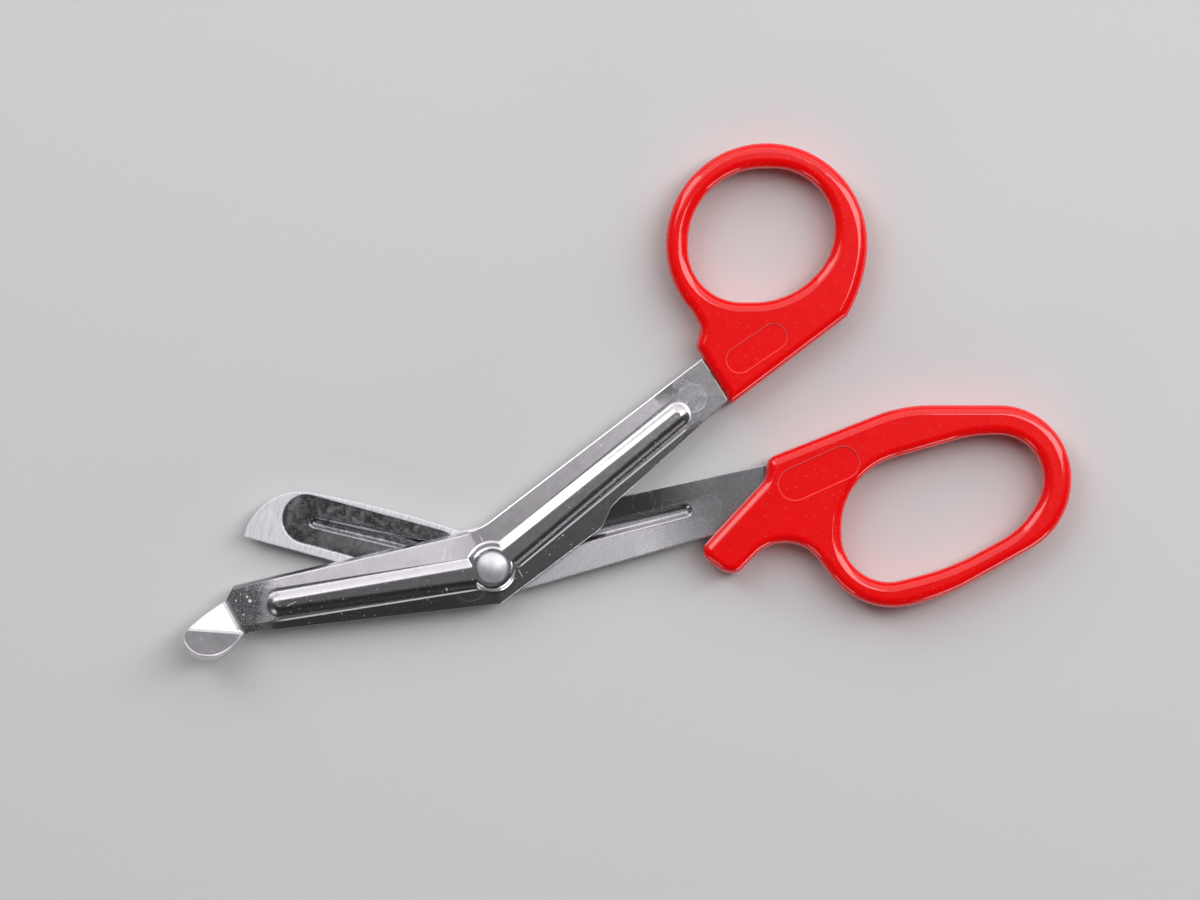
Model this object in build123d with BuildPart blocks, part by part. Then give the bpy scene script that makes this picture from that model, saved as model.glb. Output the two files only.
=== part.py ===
from build123d import *
from math import atan2, cos, degrees, radians, sin, tan
import os

# Bandage scissors, 185 mm long when closed, shown a little open.
# X runs from the blades to the handles, Z is the pivot axis, and Z = 0 is the plane the pair lies on.
os.makedirs("parts", exist_ok=True)

# Steel sheet of both members, and the plane in which they slide on each other
sheet = 1.6
sliding_gap = 0.04
handle_thickness = 8.4
slide_height = handle_thickness / 2
front_face = slide_height + sliding_gap / 2
rear_face = slide_height - sliding_gap / 2

# Pivot: raised boss on the outside of each member, hole and rivet
boss_radius = 5.2
boss_flank_width = 1.0
boss_land_radius = boss_radius - boss_flank_width
shaft_radius = 2.2
running_clearance = 0.06
seat_clearance = 0.02
head_radius = 3.4
head_edge = 0.35
front_head_height = 1.35
rest_land_radius = 2.4

# Ribs pressed outward, with a narrower groove on the inside
rib_height = 0.9
rib_flank_angle = 55.0
rib_crown_radius = 1.6
boss_crown_radius = 0.6
rib_foot_radius = 0.6
rib_width = 6.2
rib_tip_width = 4.8
groove_depth = 0.8
groove_flank_angle = 50.0
groove_width = 3.4
groove_tip_width = 2.7
probe_blade_rib = ((-44.0, -7.5), (0.0, -0.6))
probe_shank_rib = ((38.2, 31.4), (0.0, 0.0))
plain_blade_rib = ((-36.6, 9.3), (0.0, 1.0))
plain_shank_rib = ((39.8, 11.7), (4.0, 3.0))

# Grinding: bevel of the cutting edges and the shallow hollow between the ground lands inside
bevel_width = 0.6
bevel_depth = 1.2
bevel_runout = 1.0
hollow_depth = 0.15
plain_hollow = ((-38.4, 9.95), (-11.9, 2.7))
plain_hollow_width = 10.2
probe_hollow = ((-44.5, -7.9), (-12.0, -1.6))
probe_hollow_width = 7.0

# Front member: corner points of blade and shank
probe_edge_tip = (-53.3, -3.7)
probe_edge_heel = (-2.3, 8.1)
probe_bevel_stop = 3.0
probe_shoulder = (43.3, 43.1)
probe_shoulder_low = (48.7, 34.5)
probe_waist = (27.0, 14.9)
probe_jog_end = (24.6, 12.6)
probe_jog_start = (22.6, 8.2)
probe_heel = (1.7, -7.5)
probe_foot_heel = (-49.6, -13.4)
probe_corner_radii = [0.4, 0.2, 0.2, 2.0, 1.5, 3.0, 3.0, 1.5, 0.05, 0.05, 12.0]

# Foot of the front member: a wedge and a pad, each bent further outward
foot_apex = (-51.2, -14.1)
foot_bend_end = (-55.1, -6.9)
wedge_tilt = 9.0
wedge_bulge = (7.85, 4.35)
crease_end = (6.0, 9.5)
crease_radius = 1.2
pad_tilt = 35.0
pad_outline = [(2.5, 4.0), (5.9, 6.7), (9.8, 6.75), (12.4, 3.7)]
foot_reach = 14.0

# Rear member: corner points of blade and shank
plain_tip = (-51.3, 6.3)
plain_nose = (-47.9, 12.3)
plain_nose_end = (-37.5, 15.4)
plain_spine = (-22.5, 12.1)
plain_notch = (-6.7, 7.4)
plain_shoulder = (56.5, 21.2)
plain_end_bend = (56.4, 18.4)
plain_end_bend_radius = 4.0
plain_shoulder_low = (45.5, 6.6)
plain_heel = (-1.9, -7.1)

# Tangs held inside the handles
tang_width = 6.4
tang_length = 17.0
tang_corner = 2.0
probe_tang_turn = 37.0
plain_tang_turn = 16.0

# Thumb handle: ring, its wall left of the hole, and where the ring stands on the tab
thumb_ring_radius = 20.8
thumb_ring_wall = 4.65
thumb_ring_root = (54.5, 45.9)
thumb_ring_lean_angle = 84.5
thumb_ring_start_angle = -6.0
thumb_ring_end_angle = 222.0

# Thumb hole: place of its middle, and its corner points and their radii as ratios of its width
thumb_hole_shift = (-1.1, 1.83)
thumb_hole_width = 2 * (thumb_ring_radius - thumb_ring_wall + thumb_hole_shift[0])
thumb_hole_ratios = [
    ((-0.5, 0.458), 0.512), ((0.5, 0.458), 0.419), ((0.5, -0.137), 0.432), ((0.196, -0.458), 0.565),
    ((-0.5, -0.458), 0.365),
]

# Tab of the thumb handle: neck, bump over the shank's end, and straight stop edge
thumb_neck = (43.0, 49.2)
thumb_neck_radius = 2.5
thumb_bump_overhang = 2.8
thumb_bump_radius = 2.4
thumb_end_overhang = 1.05
thumb_stop_end = (73.0, 51.6)

# Finger handle: end over the shank, nose and loop, and the hole as corner points with their radii
finger_end_overhang = 1.25
finger_end_overhang_low = 4.9
finger_end_radius = 2.4
finger_nose = [((61.1, 9.5), 8.4), ((50.6, -1.25), 2.4), ((47.6, -1.0), 4.0)]
finger_loop = [
    ((84.3, 33.45), 30.0), ((119.3, 33.45), 15.0), ((119.3, 8.5), 16.5), ((93.4, -6.0), 50.0),
    ((76.2, -10.3), 16.0),
]
finger_hole = [
    ((71.95, -5.86), 9.8), ((71.95, 19.57), 15.0), ((99.26, 27.35), 28.0), ((118.76, 27.35), 9.3),
    ((109.93, 8.42), 18.0), ((94.4, 0.0), 50.0),
]

# Moulding: rounding of the handles' edges, at most that ratio of the ring's wall, and bare sunk plaques
handle_rounding = 2.0
rounding_wall_ratio = 0.45
plaque_depth = 0.3
thumb_plaque_centre = (54.4, 45.1)
thumb_plaque_size = (13.9, 5.5)
thumb_plaque_turn = 34.0
finger_plaque_centre = (67.2, 19.4)
finger_plaque_size = (17.6, 6.8)
finger_plaque_turn = 24.0


def beyond(start, end, distance):
    """Point on the line from start to end, that far past the end."""
    line = Vector(*end) - Vector(*start)
    point = Vector(*end) + line.normalized() * distance
    return (point.X, point.Y)


def crown(rib, outward, radius):
    """Round the edge of a rib's or boss's flat top."""
    top = rib.faces().filter_by(Axis.Z).sort_by(Axis.Z)[-1 if outward > 0 else 0]
    fillet(top.edges(), radius)


def bead(ends, widths, face, outward, height, flank_angle, crown_radius=None):
    """Low rib on a flat face with sloping flanks and round ends, as wide at each end as given."""
    with BuildPart() as rib:
        for level in (0, height):
            with BuildSketch(Plane.XY.offset(face + outward * level)):
                for end, width in zip(ends, widths):
                    with Locations(end):
                        Circle(width / 2 - level * tan(radians(flank_angle)))
                make_hull()
        loft(ruled=True)
        if crown_radius:
            crown(rib, outward, crown_radius)
    return rib.part


def pressed_ribs(lines, face, outward):
    """Both ribs of a member and the boss round its pivot hole, with crowned tops."""
    widths = (rib_tip_width, rib_width)
    beads = [
        bead(line, widths, face, outward, rib_height, rib_flank_angle, rib_crown_radius)
        for line in lines
    ]
    boss_slope = degrees(atan2(boss_radius - boss_land_radius, rib_height))
    with BuildPart() as boss:
        with BuildSketch(Plane.XY.offset(face)):
            Circle(boss_radius)
        extrude(amount=rib_height, dir=(0, 0, outward), taper=boss_slope)
        crown(boss, outward, boss_crown_radius)
    return beads + [boss.part]


def soften_rib_foot(member, face):
    """Round the corner where ribs and boss rise from a member's outer face."""
    level = member.faces().filter_by_position(Axis.Z, face - sliding_gap, face + sliding_gap)
    fillet(level.sort_by(SortBy.AREA)[-1].inner_wires().edges(), rib_foot_radius)


def grooves(lines, face, outward):
    """Grooves behind the ribs, cut from the inner face and stopped short of the boss."""
    widths = (groove_tip_width, groove_width)
    cuts = []
    for tip, root in lines:
        inner_end = beyond(tip, root, -boss_radius - groove_width / 2)
        cuts.append(bead((tip, inner_end), widths, face, outward, groove_depth, groove_flank_angle))
    return cuts


def bevel(start, end, face, outward):
    """Wedge that grinds a cutting edge from outside; the blade lies to the right of start to end."""
    line = Vector(*end) - Vector(*start)
    depth = outward * bevel_depth
    with BuildPart() as wedge:
        with BuildSketch(Plane(origin=(*start, face), x_dir=(line.Y, -line.X, 0), z_dir=line)):
            with BuildLine():
                Polyline((bevel_width, 0), (0, depth), (-bevel_width, depth), (-bevel_width, 0), close=True)
            make_face()
        extrude(amount=line.length)
    return wedge.part


def rounded_outline(corners):
    """Closed outline through corner points, each given with its radius."""
    points, radii = zip(*corners)
    FilletPolyline(*points, radius=list(radii), close=True)


def stadium(ends, width):
    """Slot-shaped area round the line between two points, on the current sketch."""
    start, end = (Vector(*point) for point in ends)
    line = end - start
    with Locations((start + end) / 2):
        SlotCenterToCenter(line.length, width, rotation=degrees(atan2(line.Y, line.X)))


def tang_outline(shoulder, shoulder_low, turn):
    """Tongue that runs from the middle of a shank's end into the handle, turned from the X axis."""
    middle = (Vector(*shoulder) + Vector(*shoulder_low)) / 2
    with Locations(Location(middle, turn)):
        with Locations((tang_length / 2, 0)):
            RectangleRounded(tang_length, tang_width, tang_corner)


# Outlines of the front member without its foot, and of its tang
with BuildSketch(Plane.XY.offset(front_face)) as probe_outline:
    with BuildLine():
        FilletPolyline(
            probe_edge_tip, foot_bend_end, foot_apex, probe_foot_heel, probe_heel, probe_jog_start,
            probe_jog_end, probe_waist, probe_shoulder_low, probe_shoulder, probe_edge_heel,
            radius=probe_corner_radii,
            close=True,
        )
    make_face()

with BuildSketch(Plane.XY.offset(front_face)) as probe_tang:
    tang_outline(probe_shoulder, probe_shoulder_low, probe_tang_turn)

# Outlines of the rear member and of its tang
with BuildSketch(Plane.XY.offset(rear_face)) as plain_outline:
    with BuildLine():
        nose = ThreePointArc(plain_tip, plain_nose, plain_nose_end)
        shank = FilletPolyline(
            plain_notch, plain_shoulder, plain_end_bend, plain_shoulder_low,
            radius=[0, plain_end_bend_radius],
        )
        ThreePointArc(nose @ 1, plain_spine, shank @ 0)
        Polyline(shank @ 1, plain_heel, nose @ 0)
    make_face()

with BuildSketch(Plane.XY.offset(rear_face)) as plain_tang:
    tang_outline(plain_shoulder, plain_shoulder_low, plain_tang_turn)

# The foot lies on two planes, each turned outward about a crease that starts at the foot's apex
bend = Vector(*foot_bend_end) - Vector(*foot_apex)
bend_plane = Plane(origin=(*foot_apex, front_face), x_dir=bend, z_dir=(0, 0, 1))
wedge_plane = Plane(bend_plane.location * Rot(X=wedge_tilt))
crease = wedge_plane.from_local_coords(Vector(*crease_end)) - wedge_plane.origin
crease_plane = Plane(origin=wedge_plane.origin, x_dir=crease, z_dir=wedge_plane.z_dir)
across_crease = Plane(crease_plane.origin, x_dir=crease_plane.y_dir, z_dir=crease_plane.x_dir)
pad_plane = Plane(crease_plane.location * Rot(X=pad_tilt))
bend_on_pad = pad_plane.to_local_coords(bend_plane.from_local_coords(Vector(bend.length, 0, sheet)))
bulge_on_pad = pad_plane.to_local_coords(wedge_plane.from_local_coords(Vector(*wedge_bulge, sheet)))
pad_far_edge = (foot_reach * cos(radians(pad_tilt)), foot_reach * sin(radians(pad_tilt)))

# Foot: a strip bent about the second crease and cut to the foot's outline, square to the pad
with BuildPart() as foot:
    with BuildSketch(across_crease):
        with BuildLine():
            bent = FilletPolyline((-foot_reach, 0), (0, 0), pad_far_edge, radius=crease_radius + sheet)
            offset(bent, amount=sheet, side=Side.LEFT)
        make_face()
    extrude(amount=foot_reach, both=True)
    with BuildSketch(pad_plane):
        with BuildLine():
            Polyline((bend_on_pad.X, bend_on_pad.Y), (0, 0))
            Spline((0, 0), *pad_outline, (crease.length, 0))
            ThreePointArc(
                (crease.length, 0), (bulge_on_pad.X, bulge_on_pad.Y), (bend_on_pad.X, bend_on_pad.Y),
            )
        make_face()
    extrude(amount=foot_reach, both=True, mode=Mode.INTERSECT)

# Front member: blade with probe foot, boss, shank and tang
probe_outside = front_face + sheet
probe_ribs = pressed_ribs((probe_blade_rib, probe_shank_rib), probe_outside, 1)
probe_grooves = grooves((probe_blade_rib, probe_shank_rib), front_face, 1)
probe_bevel = bevel(
    beyond(probe_edge_heel, probe_edge_tip, bevel_runout),
    beyond(probe_edge_tip, probe_edge_heel, -probe_bevel_stop), probe_outside, 1,
)

with BuildPart() as probe_blade:
    extrude(probe_outline.sketch, amount=sheet)
    extrude(probe_tang.sketch, amount=sheet)
    add(foot.part)
    add(probe_ribs)
    soften_rib_foot(probe_blade, probe_outside)
    add(probe_bevel, mode=Mode.SUBTRACT)
    add(probe_grooves, mode=Mode.SUBTRACT)
    with BuildSketch(Plane.XY.offset(front_face)):
        stadium(probe_hollow, probe_hollow_width)
    extrude(amount=hollow_depth, mode=Mode.SUBTRACT)
    with Locations((0, 0, front_face)):
        Hole(shaft_radius + running_clearance)

probe_blade.part.label = "probe_blade"
export_step(probe_blade.part, "parts/probe_blade.step")

# Rear member: blade, boss, shank and tang
plain_outside = rear_face - sheet
plain_ribs = pressed_ribs((plain_blade_rib, plain_shank_rib), plain_outside, -1)
plain_grooves = grooves((plain_blade_rib, plain_shank_rib), rear_face, -1)
plain_bevel = bevel(plain_heel, beyond(plain_heel, plain_tip, bevel_runout), plain_outside, -1)

with BuildPart() as plain_blade:
    extrude(plain_outline.sketch, amount=-sheet)
    extrude(plain_tang.sketch, amount=-sheet)
    add(plain_ribs)
    soften_rib_foot(plain_blade, plain_outside)
    add(plain_bevel, mode=Mode.SUBTRACT)
    add(plain_grooves, mode=Mode.SUBTRACT)
    with BuildSketch(Plane.XY.offset(rear_face)):
        stadium(plain_hollow, plain_hollow_width)
    extrude(amount=-hollow_depth, mode=Mode.SUBTRACT)
    with Locations((0, 0, rear_face)):
        Hole(shaft_radius + seat_clearance)

plain_blade.part.label = "plain_blade"
export_step(plain_blade.part, "parts/plain_blade.step")

# Rivet: one shaft with a low domed head in front and a flatter head behind, on which the pair rests
front_head_seat = front_face + sheet + rib_height + sliding_gap
rear_head_seat = rear_face - sheet - rib_height

with BuildPart() as pivot_rivet:
    with BuildSketch(Plane.XZ):
        with BuildLine():
            rim = Polyline(
                (0, 0), (rest_land_radius, 0), (head_radius, rear_head_seat - head_edge),
                (head_radius, rear_head_seat), (shaft_radius, rear_head_seat),
                (shaft_radius, front_head_seat), (head_radius, front_head_seat),
                (head_radius, front_head_seat + head_edge),
            )
            top = (0, front_head_seat + front_head_height)
            TangentArc(top, rim @ 1, tangent=(1, 0))
            Line(top, (0, 0))
        make_face()
    revolve(axis=Axis.Z)

pivot_rivet.part.label = "pivot_rivet"
export_step(pivot_rivet.part, "parts/pivot_rivet.step")

# Thumb handle: ring that grows out of the tab, straight stop edge, moulded round the front tang
ring_lean = radians(thumb_ring_lean_angle)
ring_centre = Vector(*thumb_ring_root) + Vector(cos(ring_lean), sin(ring_lean)) * thumb_ring_radius
hole_centre = ring_centre + Vector(*thumb_hole_shift)
thumb_hole = [
    (hole_centre + Vector(*corner) * thumb_hole_width, ratio * thumb_hole_width)
    for corner, ratio in thumb_hole_ratios
]
thumb_corner = beyond(probe_shoulder, probe_shoulder_low, thumb_end_overhang)
thumb_bump = beyond(probe_shoulder_low, probe_shoulder, thumb_bump_overhang)

with BuildPart() as thumb_handle:
    with BuildSketch():
        with BuildLine():
            ring = CenterArc(
                ring_centre, thumb_ring_radius, thumb_ring_start_angle,
                thumb_ring_end_angle - thumb_ring_start_angle,
            )
            tab = FilletPolyline(
                ring @ 1, thumb_neck, thumb_bump, thumb_corner,
                radius=[thumb_neck_radius, thumb_bump_radius],
            )
            stop = Line(tab @ 1, thumb_stop_end)
            TangentArc(ring @ 0, stop @ 1, tangent=(ring % 0) * -1)
        make_face()
        with BuildLine():
            rounded_outline(thumb_hole)
        make_face(mode=Mode.SUBTRACT)
    extrude(amount=handle_thickness)
    ring_rounding = min(handle_rounding, rounding_wall_ratio * thumb_ring_wall)
    fillet(thumb_handle.faces().filter_by(Axis.Z).edges(), ring_rounding)
    with BuildSketch(Plane.XY.offset(handle_thickness)):
        with Locations(thumb_plaque_centre):
            SlotOverall(*thumb_plaque_size, rotation=thumb_plaque_turn)
    extrude(amount=-plaque_depth, mode=Mode.SUBTRACT)
    extrude(probe_tang.sketch, amount=sheet, mode=Mode.SUBTRACT)

thumb_handle.part.label = "thumb_handle"
export_step(thumb_handle.part, "parts/thumb_handle.step")

# Finger handle: long loop, nose below the shank and straight stop edge, moulded round the rear tang
finger_end = [
    (beyond(plain_end_bend, plain_shoulder_low, finger_end_overhang_low), finger_end_radius),
    (plain_end_bend, plain_end_bend_radius),
    (beyond(plain_end_bend, plain_shoulder, finger_end_overhang), finger_end_radius),
]

with BuildPart() as finger_handle:
    with BuildSketch():
        with BuildLine():
            rounded_outline(finger_nose + finger_end + finger_loop)
        make_face()
        with BuildLine():
            rounded_outline(finger_hole)
        make_face(mode=Mode.SUBTRACT)
    extrude(amount=handle_thickness)
    fillet(finger_handle.faces().filter_by(Axis.Z).edges(), handle_rounding)
    with BuildSketch(Plane.XY.offset(handle_thickness)):
        with Locations(finger_plaque_centre):
            SlotOverall(*finger_plaque_size, rotation=finger_plaque_turn)
    extrude(amount=-plaque_depth, mode=Mode.SUBTRACT)
    extrude(plain_tang.sketch, amount=-sheet, mode=Mode.SUBTRACT)

finger_handle.part.label = "finger_handle"
export_step(finger_handle.part, "parts/finger_handle.step")
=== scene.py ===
import math

import bpy
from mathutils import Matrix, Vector

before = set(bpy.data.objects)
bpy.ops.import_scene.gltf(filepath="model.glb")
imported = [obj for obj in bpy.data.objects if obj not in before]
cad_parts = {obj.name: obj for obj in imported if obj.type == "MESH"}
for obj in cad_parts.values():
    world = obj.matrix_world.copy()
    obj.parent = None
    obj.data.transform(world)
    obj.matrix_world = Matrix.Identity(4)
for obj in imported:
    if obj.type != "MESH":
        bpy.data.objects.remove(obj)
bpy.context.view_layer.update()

MM = 0.001

# The pivot and lines on the part, in millimetres, as in the CAD source
PIVOT = (0.0, 0.0)
PROBE_BLADE_RIB = ((-44.0, -7.5), (0.0, -0.6))
PROBE_SHANK_RIB = (PIVOT, (38.2, 31.4))
FOOT_BEND = ((-51.2, -14.1), (-55.1, -6.9))
PLAIN_HOLLOW = ((-38.4, 9.95), (-11.9, 2.7))
PLAIN_SHANK_RIB = ((4.0, 3.0), (39.8, 11.7))

# Marks on the front member: deposits with their radii, scratches with their widths, and one faint scratch
DEPOSITS = [
    ((-49.9, -6.9), 0.34), ((-50.5, -6.0), 0.2), ((-52.8, -6.8), 0.18), ((-51.3, -9.7), 0.16),
    ((22.4, 25.2), 0.18), ((14.6, 6.6), 0.15), ((-9.4, -4.5), 0.25),
]
SCRATCHES = [
    ((-9.5, 3.9), (-9.8, 2.9), 0.07), ((-9.8, 2.9), (-10.3, 1.5), 0.09), ((-42.2, -7.9), (-40.4, -7.0), 0.06),
    ((5.5, -0.6), (6.2, -1.9), 0.06), ((-2.4, 6.2), (-2.0, 5.5), 0.08),
]
FAINT_SCRATCH = ((-9.4, -4.6), (-3.4, -3.9), 0.06)

# Marks on the rear member: pale stains in the hollow with their half widths and strengths, and dried rings
STAINS = [
    ((-34.5, 6.2), (-14.0, 1.8), 1.9, 0.5), ((-33.0, 9.6), (-14.0, 4.9), 0.5, 0.9),
    ((-41.3, 12.2), (-40.3, 14.0), 0.6, 0.8), ((-42.0, 9.0), (-41.6, 11.0), 0.35, 0.6),
]
RINGS = [((31.2, 13.4), 2.3), ((36.3, 12.6), 1.4), ((44.5, 12.2), 2.6)]

# Noises of the steel: scale per millimetre, detail, roughness and distortion
GRAIN = (8.0, 2.0, 0.6)
MOTTLE = (0.35, 4.0, 0.6, 0.4)


# Node trees

class Field:
    """A node's output, which varies over the surface. Arithmetic on it adds maths nodes to its tree."""

    def __init__(self, socket):
        self.socket = socket
        self.tree = socket.id_data

    def sibling(self, name):
        return Field(self.socket.node.outputs[name])

    def maths(self, operation, *others, clamp=False):
        inputs = dict(enumerate((self, *others)))
        return add_node(self.tree, "ShaderNodeMath", inputs, operation=operation, use_clamp=clamp)

    def __add__(self, other):
        return self.maths("ADD", other)

    def __sub__(self, other):
        return self.maths("SUBTRACT", other)

    def __mul__(self, other):
        return self.maths("MULTIPLY", other)

    def times_plus(self, factor, addend):
        return self.maths("MULTIPLY_ADD", factor, addend)

    def at_least(self, other):
        return self.maths("MAXIMUM", other)


def plug(socket, value):
    """Links a field to an input, or sets the input to a constant."""
    if isinstance(value, Field):
        socket.id_data.links.new(value.socket, socket)
    else:
        socket.default_value = value


def add_node(tree, kind, inputs, output=0, **props):
    """Adds a node and gives one of its outputs. Sockets go by name or number."""
    node = tree.nodes.new(kind)
    for key, value in props.items():
        setattr(node, key, value)
    for key, value in inputs.items():
        plug(node.inputs[key], value)
    return Field(node.outputs[output])


class Surface:
    """A new material, with the place on the part in millimetres as a vector and as x, y and z."""

    def __init__(self, name):
        self.material = bpy.data.materials.new(name)
        self.material.use_nodes = True
        self.tree = self.material.node_tree
        metres = add_node(self.tree, "ShaderNodeTexCoord", {}, "Object")
        to_mm = {0: metres, "Scale": 1 / MM}
        self.place = add_node(self.tree, "ShaderNodeVectorMath", to_mm, operation="SCALE")
        self.x = add_node(self.tree, "ShaderNodeSeparateXYZ", {0: self.place}, "X")
        self.y, self.z = self.x.sibling("Y"), self.x.sibling("Z")

    def shade(self, inputs):
        """Sets inputs of the shader, and gives the material."""
        shader = self.tree.nodes["Principled BSDF"]
        for name, value in inputs.items():
            plug(shader.inputs[name], value)
        return self.material


def grey(level, warmth=0.0):
    """Cool grey of stainless steel. Warmth adds a little red."""
    return (level * (1 + warmth), level * 0.985, level * 1.04, 1)


def mix(factor, a, b):
    return add_node(factor.tree, "ShaderNodeMix", {0: factor, 6: a, 7: b}, 2, data_type="RGBA")


def ramp(value, low, high):
    """0 at low, 1 at high, straight between."""
    return add_node(value.tree, "ShaderNodeMapRange", {0: value, 1: low, 2: high}, clamp=True)


def band(value, low, high, edge):
    """1 between low and high, with soft edges."""
    return ramp(value, low - edge, low + edge) * ramp(value, high + edge, high - edge)


def either(mask, *others):
    for other in others:
        mask = mask.at_least(other)
    return mask


def noise(vector, scale, detail=2.0, roughness=0.5, distortion=0.0):
    inputs = {
        "Vector": vector, "Scale": scale, "Detail": detail, "Roughness": roughness, "Distortion": distortion,
    }
    return add_node(vector.tree, "ShaderNodeTexNoise", inputs, "Fac")


def streaked(vector, angle, along, across):
    """The vector turned and scaled, so that a noise on it runs in streaks along that angle."""
    turn = (0, 0, -math.radians(angle))
    turned = add_node(vector.tree, "ShaderNodeMapping", {"Vector": vector, "Rotation": turn})
    return add_node(vector.tree, "ShaderNodeMapping", {"Vector": turned, "Scale": (along, across, 1)})


def from_line(surface, start, end):
    """Distance to the left of the line from start to end, and distance along it."""
    (sx, sy), (ex, ey) = start, end
    length = math.hypot(ex - sx, ey - sy)
    ux, uy = (ex - sx) / length, (ey - sy) / length
    side = surface.y.times_plus(ux, surface.x.times_plus(-uy, sx * uy - sy * ux))
    along = surface.y.times_plus(uy, surface.x.times_plus(ux, -sx * ux - sy * uy))
    return side, along


def from_point(surface, point):
    """Distance from a point, seen from above."""
    dx, dy = surface.x - point[0], surface.y - point[1]
    return dx.times_plus(dx, dy * dy).maths("SQRT")


def from_segment(surface, start, end):
    """Distance from the nearest place between two points, seen from above."""
    side, along = from_line(surface, start, end)
    past = (along - math.dist(start, end)).at_least(along * -1.0).at_least(0.0)
    return side.times_plus(side, past * past).maths("SQRT")


def scratch(surface, start, end, width):
    return ramp(from_segment(surface, start, end), width * 1.6, width * 0.5)


def dust(surface, cells, size, share):
    """Sparse specks: cells per millimetre, a speck's size, and the share of the cells that hold one."""
    inputs = {"Vector": surface.place, "Scale": cells}
    distance = add_node(surface.tree, "ShaderNodeTexVoronoi", inputs, "Distance", voronoi_dimensions="2D")
    chosen = add_node(surface.tree, "ShaderNodeSeparateColor", {0: distance.sibling("Color")})
    return ramp(distance, size * cells * 1.2, size * cells * 0.6) * ramp(chosen, share, share - 0.02)


def bump(height, normal=None):
    """Normal of a surface raised by a height in millimetres."""
    inputs = {"Height": height, "Distance": MM}
    if normal is not None:
        inputs["Normal"] = normal
    return add_node(height.tree, "ShaderNodeBump", inputs)


def edges(tree, radius):
    """Normal with sharp edges rounded to a radius in millimetres, and a mask of those edges."""
    rounded = add_node(tree, "ShaderNodeBevel", {"Radius": radius * MM}, samples=10)
    true = add_node(tree, "ShaderNodeNewGeometry", {}, "Normal")
    likeness = add_node(tree, "ShaderNodeVectorMath", {0: rounded, 1: true}, "Value", operation="DOT_PRODUCT")
    return rounded, ramp(likeness, 0.97, 0.86)


# Steel

def steel(surface, colour, metal, rough, heights):
    """Finishes a satin steel whose sharp edges are rounded in shading and get a painted highlight, paler and
    less metallic. Heights are the sheet's form and its texture.
    """
    normal, painted_edge_highlight = edges(surface.tree, 0.45)
    for height in heights:
        normal = bump(height, normal)
    return surface.shade({
        # Painted highlight on the edges: paler colour and less metal
        "Base Color": mix(painted_edge_highlight * 0.8, colour, grey(0.88)),
        "Metallic": painted_edge_highlight.maths("MULTIPLY_ADD", -0.6, metal, clamp=True),
        "Roughness": rough,
        "Normal": normal,
    })


def margins(side, half_width, upper, lower):
    """Height of sheet that falls away on both sides of a rib, by two slopes in degrees."""
    above = (side - half_width).at_least(0.0) * -math.tan(math.radians(upper))
    return (side * -1.0 - half_width).at_least(0.0).times_plus(-math.tan(math.radians(lower)), above)


def etched_patch(surface):
    """Mask of the coarse patch between the rib's end and the foot, on the outside."""
    border = surface.x + noise(surface.place, 0.5, 3.0, 0.6).times_plus(5.0, -2.5)
    past_bend, _ = from_line(surface, *FOOT_BEND)
    return ramp(border, -43.5, -48.5) * ramp(past_bend, 0.6, -0.8) * ramp(surface.z, 5.0, 5.6)


def smears(surface, ragged):
    """Mask of a smear near the shank's end: a streaky blot and the dried rims of two drops."""
    streaks = noise(surface.place, 0.8, 5.0, 0.75, 1.6)
    first = from_point(surface, (41.2, 34.9)) + ragged * 0.6
    second = from_point(surface, (39.4, 36.3)) + ragged * 0.6
    blot = ramp(first, 3.0, 2.6) * ramp(streaks, 0.45, 0.7)
    rims = either(band(first, 2.85, 2.95, 0.12), band(second, 2.2, 2.25, 0.1))
    return either(blot * 0.3, rims * ramp(streaks, 0.3, 0.5) * 0.5)


def deposit(surface, ragged, centre, radius):
    return ramp(from_point(surface, centre) + ragged, radius * 1.3, radius * 0.7)


def front_lines(surface, blade, blade_along, shank, shank_along):
    """Mask of painted highlights along the creases below the ribs, of the scratches, and of a faint arc below
    the pivot.
    """
    crease_highlight_band = (-3.6, -3.3, 0.08)
    # The bands along the creases are painted highlights; the scratches are real marks
    sharp = either(
        band(blade, *crease_highlight_band) * band(blade_along, -0.5, 41.0, 1.5),
        band(shank, *crease_highlight_band) * band(shank_along, 4.5, 49.0, 0.5),
        *[scratch(surface, *ends_and_width) for ends_and_width in SCRATCHES],
    )
    arc = band(from_point(surface, (-4.6, -3.6)), 3.3, 3.4, 0.12) * ramp(surface.y, -4.0, -4.6)
    return either(sharp, either(arc, scratch(surface, *FAINT_SCRATCH)) * 0.22)


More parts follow.
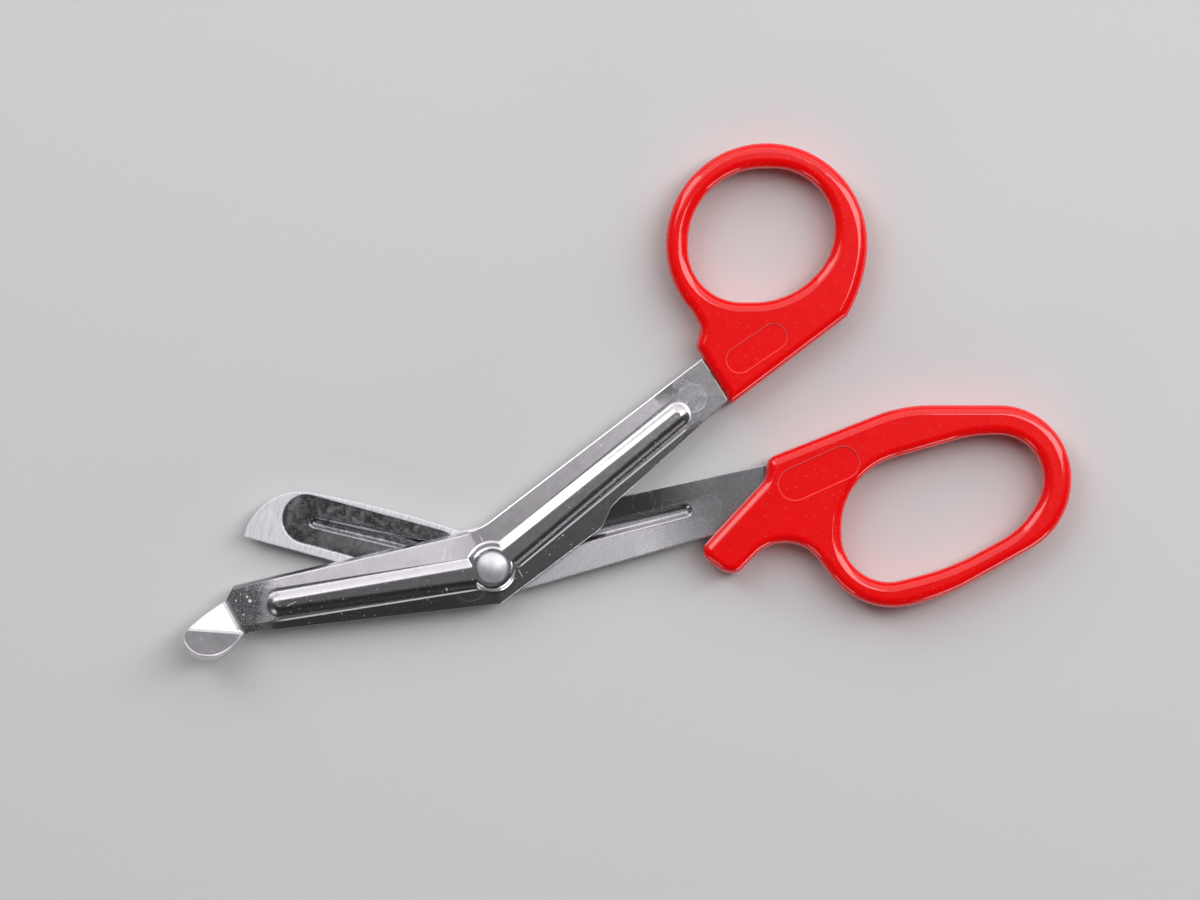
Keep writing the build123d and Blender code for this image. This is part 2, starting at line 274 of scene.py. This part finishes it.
def steel_front():
    """Front member seen from outside: coarse patch before the foot, smears, deposits, dust, scratches and
    painted highlights along the creases below the ribs.
    """
    surface = Surface("steel of the front member")
    grain, mottle = noise(surface.place, *GRAIN), noise(surface.place, *MOTTLE)
    blade, blade_along = from_line(surface, *PROBE_BLADE_RIB)
    shank, shank_along = from_line(surface, *PROBE_SHANK_RIB)

    colour = mix(ramp(grain, 0.3, 0.7), grey(0.6, 0.03), grey(0.72, 0.025))
    colour = mix(ramp(mottle, 0.45, 0.7) * 0.3, colour, grey(0.48))
    patch = etched_patch(surface)
    pits = noise(surface.place, 4.5, 3.0, 0.75)
    colour = mix(patch, colour, mix(ramp(pits, 0.55, 0.7), grey(0.08), grey(0.8)))

    ragged = noise(surface.place, 3.5, 3.0, 0.7).times_plus(0.5, -0.25)
    stain = smears(surface, ragged)
    colour = mix(stain, colour, grey(0.78))
    marks_and_crease_highlights = either(
        *[deposit(surface, ragged, *centre_and_radius) for centre_and_radius in DEPOSITS],
        front_lines(surface, blade, blade_along, shank, shank_along),
        dust(surface, cells=0.45, size=0.1, share=0.4), dust(surface, cells=1.1, size=0.05, share=0.2),
    )
    # Deposits, scratches and dust turn pale, and so do the painted highlights along the creases
    colour = mix(marks_and_crease_highlights * 0.85, colour, grey(0.9))

    metal = either(marks_and_crease_highlights, stain).times_plus(-0.75, 1.0)
    rough = either(stain, patch).times_plus(0.22, grain.times_plus(0.1, 0.16))

    # The margins fall away between the foot and the handle, more steeply along the blade
    steeper = ramp(surface.x, -2.0, -9.0).times_plus(0.35, 1.0)
    reach = ramp(surface.x, -53.5, -49.0) * ramp(shank_along, 52.5, 48.0) * steeper
    form = margins(blade.maths("MINIMUM", shank), half_width=3.3, upper=4.2, lower=7.0) * reach
    texture = (pits * patch).times_plus(0.09, grain * 0.003)
    return steel(surface, colour, metal, rough, (form, texture))


def hollow_colour(surface, cloud):
    """Colour of the dark hollow, with its clouds, pale stains and specks."""
    drift = (cloud - 0.5) * 6.0
    stains = either(*[
        ramp(from_segment(surface, start, end) + drift, width, width * 0.3) * strength
        for start, end, width, strength in STAINS
    ])
    specks = ramp(noise(surface.place, 2.8, 2.0, 0.6), 0.56, 0.7) * ramp(cloud, 0.62, 0.4)
    colour = mix(ramp(cloud, 0.43, 0.64), grey(0.1, -0.02), grey(0.46, -0.03))
    colour = mix(stains * 0.7, colour, grey(0.72, -0.01))
    return mix(specks * 0.6, colour, grey(0.55, 0.01))


def rear_shank_colour(surface, side, grain, cloud, wander):
    """Colour of the rear shank: darker near the handle and above the groove, with dried rings."""
    colour = mix(ramp(grain, 0.25, 0.75), grey(0.56, 0.02), grey(0.64, 0.02))
    colour = mix(ramp(surface.x, 33.0, 48.0), colour, grey(0.26))
    colour = mix(ramp(side, 0.3, 2.0) * ramp(surface.x, 50.0, 34.0), colour, grey(0.14))
    rings = either(*[
        band(from_point(surface, centre) + wander * 0.8, radius, radius + 0.12, 0.12)
        for centre, radius in RINGS
    ])
    return mix(rings * ramp(cloud, 0.4, 0.55) * 0.6, colour, grey(0.75))


def steel_rear():
    """Rear member seen from inside: pale ground lands round a dark, stained hollow, and a stained shank."""
    surface = Surface("steel of the rear member")
    grain = noise(surface.place, *GRAIN)
    cloud = noise(surface.place, 0.55, 6.0, 0.7, 0.8)
    wander = noise(surface.place, 1.6, 4.0, 0.7).times_plus(0.3, -0.15)
    side, _ = from_line(surface, *PLAIN_SHANK_RIB)

    from_middle = from_segment(surface, *PLAIN_HOLLOW) + wander
    hollow = ramp(from_middle, 5.14, 5.04) * ramp(surface.x, 3.0, -1.0)
    on_shank = ramp(surface.x, -1.0, 3.0)
    ground = either(hollow, on_shank).times_plus(-1.0, 1.0)

    grinding = noise(streaked(surface.place, angle=72.0, along=0.35, across=5.0), 1.0, 3.0, 0.6)
    lands = mix(ramp(grinding, 0.35, 0.62), grey(0.62, 0.02), grey(0.86, 0.01))
    colour = mix(hollow, lands, hollow_colour(surface, cloud))
    colour = mix(on_shank, colour, rear_shank_colour(surface, side, grain, cloud, wander))
    colour = mix(dust(surface, cells=0.8, size=0.07, share=0.5) * 0.8, colour, grey(0.85))
    metal = ground.times_plus(-0.6, 1.0)
    rough = ground.times_plus(0.2, grain.times_plus(0.14, 0.2))

    # The inside rises where the outside falls away
    inside = ramp(surface.z, 3.0, 3.4)
    reach = inside * on_shank * ramp(surface.x, 46.0, 30.0)
    form = margins(side, half_width=1.8, upper=-4.0, lower=-3.6) * reach
    texture = (grinding * ground).times_plus(0.03, grain * 0.002)
    return steel(surface, colour, metal, rough, (form, texture))


def steel_rivet():
    """Rivet: satin dome with faint turning marks and a dark line of dirt at its base."""
    surface = Surface("steel of the rivet")
    grain, mottle = noise(surface.place, *GRAIN), noise(surface.place, *MOTTLE)
    radius = from_point(surface, PIVOT)
    turning = noise(add_node(surface.tree, "ShaderNodeCombineXYZ", {0: radius * 3.0}), 1.0, 3.0, 0.6)
    dirt = ramp(radius, 2.95, 3.2) * ramp(surface.z, 7.42, 7.2)
    colour = mix(ramp(mottle, 0.4, 0.65), grey(0.72, 0.01), grey(0.56, 0.01))
    colour = mix(ramp(grain, 0.55, 0.7) * 0.3, colour, grey(0.8))
    colour = mix(dirt * 0.8, colour, grey(0.12))
    rough = grain.times_plus(0.12, 0.44)
    texture = turning.times_plus(0.004, grain * 0.003)
    return steel(surface, colour, 0.85, rough, (texture,))


# Plastic

def red_plastic(name, seed):
    """Glossy moulded plastic with faint flow waves, fine scuffs, sparse lint and a painted highlight along
    the plaque rim.
    """
    surface = Surface(name)
    shift = {0: surface.place, 1: (seed, -seed, 0)}
    moved = add_node(surface.tree, "ShaderNodeVectorMath", shift, operation="ADD")
    tone = noise(moved, 0.12, 3.0, 0.5)
    scuff = noise(moved, 1.6, 5.0, 0.7)
    wave = noise(moved, 0.35, 2.0, 0.4)
    lint = dust(surface, cells=0.5, size=0.09, share=0.45)
    _, sharp = edges(surface.tree, 0.3)
    painted_plaque_rim_highlight = sharp * ramp(surface.z, 7.9, 8.05)
    colour = mix(tone, (0.86, 0.001, 0.002, 1), (0.96, 0.002, 0.003, 1))
    colour = mix(lint * 0.4, colour, (0.95, 0.4, 0.4, 1))
    # Painted highlight along the plaque rim
    colour = mix(painted_plaque_rim_highlight * 0.45, colour, (1.0, 0.3, 0.32, 1))
    return surface.shade({
        "Base Color": colour,
        "Roughness": scuff.times_plus(0.16, 0.2),
        "Normal": bump(scuff.times_plus(0.002, wave * 0.04)),
        "IOR": 1.52,
        "Specular IOR Level": 0.12,
        "Coat Weight": 1.0,
        "Coat Roughness": 0.06,
    })


materials = {
    "probe_blade": steel_front(),
    "plain_blade": steel_rear(),
    "pivot_rivet": steel_rivet(),
    "thumb_handle": red_plastic("red plastic of the thumb handle", 5.0),
    "finger_handle": red_plastic("red plastic of the finger handle", 17.0),
}
for node, material in materials.items():
    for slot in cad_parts[node].material_slots:
        slot.material = material


# Floor, a little below the part so that their faces don't meet in one plane

floor_material = bpy.data.materials.new("pale floor")
floor_material.use_nodes = True
floor_shader = floor_material.node_tree.nodes["Principled BSDF"]
floor_shader.inputs["Base Color"].default_value = (0.66, 0.66, 0.67, 1)
floor_shader.inputs["Roughness"].default_value = 0.9
bpy.ops.mesh.primitive_plane_add(size=8.0, location=(0, 0, -0.1 * MM))
floor = bpy.context.object
floor.name = "floor"
floor.data.materials.append(floor_material)


# Light: soft panels round the part, under a dim sky that is brighter at the horizon and behind the part

PANEL_DISTANCE = 1.15
LIT_POINT = Vector((0.022, 0.024, 0.0))


def panel(name, azimuth, elevation, width, height, radiance):
    """Area light that faces the part. Azimuth is counted from +X towards +Y, and lengths are in metres."""
    data = bpy.data.lights.new(name, "AREA")
    data.shape = "RECTANGLE"
    data.size, data.size_y = width, height
    data.energy = math.pi * width * height * radiance
    lamp = bpy.data.objects.new(name, data)
    bpy.context.collection.objects.link(lamp)
    turn, rise = math.radians(azimuth), math.radians(elevation)
    away = Vector((math.cos(turn) * math.cos(rise), math.sin(turn) * math.cos(rise), math.sin(rise)))
    lamp.location = LIT_POINT + away * PANEL_DISTANCE
    lamp.rotation_euler = away.to_track_quat("Z", "Y").to_euler()


panel("key", azimuth=82, elevation=50.5, width=2.0, height=1.5, radiance=1.08)
panel("right", azimuth=27, elevation=50, width=0.36, height=1.3, radiance=4.1)
panel("left", azimuth=137, elevation=42, width=0.3, height=1.1, radiance=3.2)
panel("low right", azimuth=-53, elevation=7, width=0.6, height=0.2, radiance=6.0)
panel("low left", azimuth=235, elevation=17, width=0.4, height=0.25, radiance=3.0)

world = bpy.data.worlds.new("studio")
bpy.context.scene.world = world
world.use_nodes = True
sky = world.node_tree
view = add_node(sky, "ShaderNodeTexCoord", {}, "Generated")
height = add_node(sky, "ShaderNodeSeparateXYZ", {0: view}, "Z")
by_height = ramp(height, 1.0, 0.0).times_plus(0.14, 0.07)
by_side = ramp(height.sibling("Y"), -0.5, 0.5).times_plus(0.8, 0.2)
background = sky.nodes["Background"]
background.inputs["Color"].default_value = (1, 1, 1, 1)
plug(background.inputs["Strength"], by_height * by_side)


# Camera: straight above, as in the photograph, and far enough for its width at the part's middle height

PHOTO_WIDTH = 1200
PIXEL = 0.2062 * MM
PHOTO_CENTRE = (22.2 * MM, 24.2 * MM)
MIDDLE_HEIGHT = 5.0 * MM

camera_data = bpy.data.cameras.new("camera")
camera_data.lens = 150
camera_data.sensor_width = 36
camera_data.clip_start = 0.01
camera_distance = PHOTO_WIDTH * PIXEL * camera_data.lens / camera_data.sensor_width
camera = bpy.data.objects.new("camera", camera_data)
bpy.context.collection.objects.link(camera)
camera.location = (*PHOTO_CENTRE, MIDDLE_HEIGHT + camera_distance)
bpy.context.scene.camera = camera

bpy.context.scene.view_settings.view_transform = "Standard"
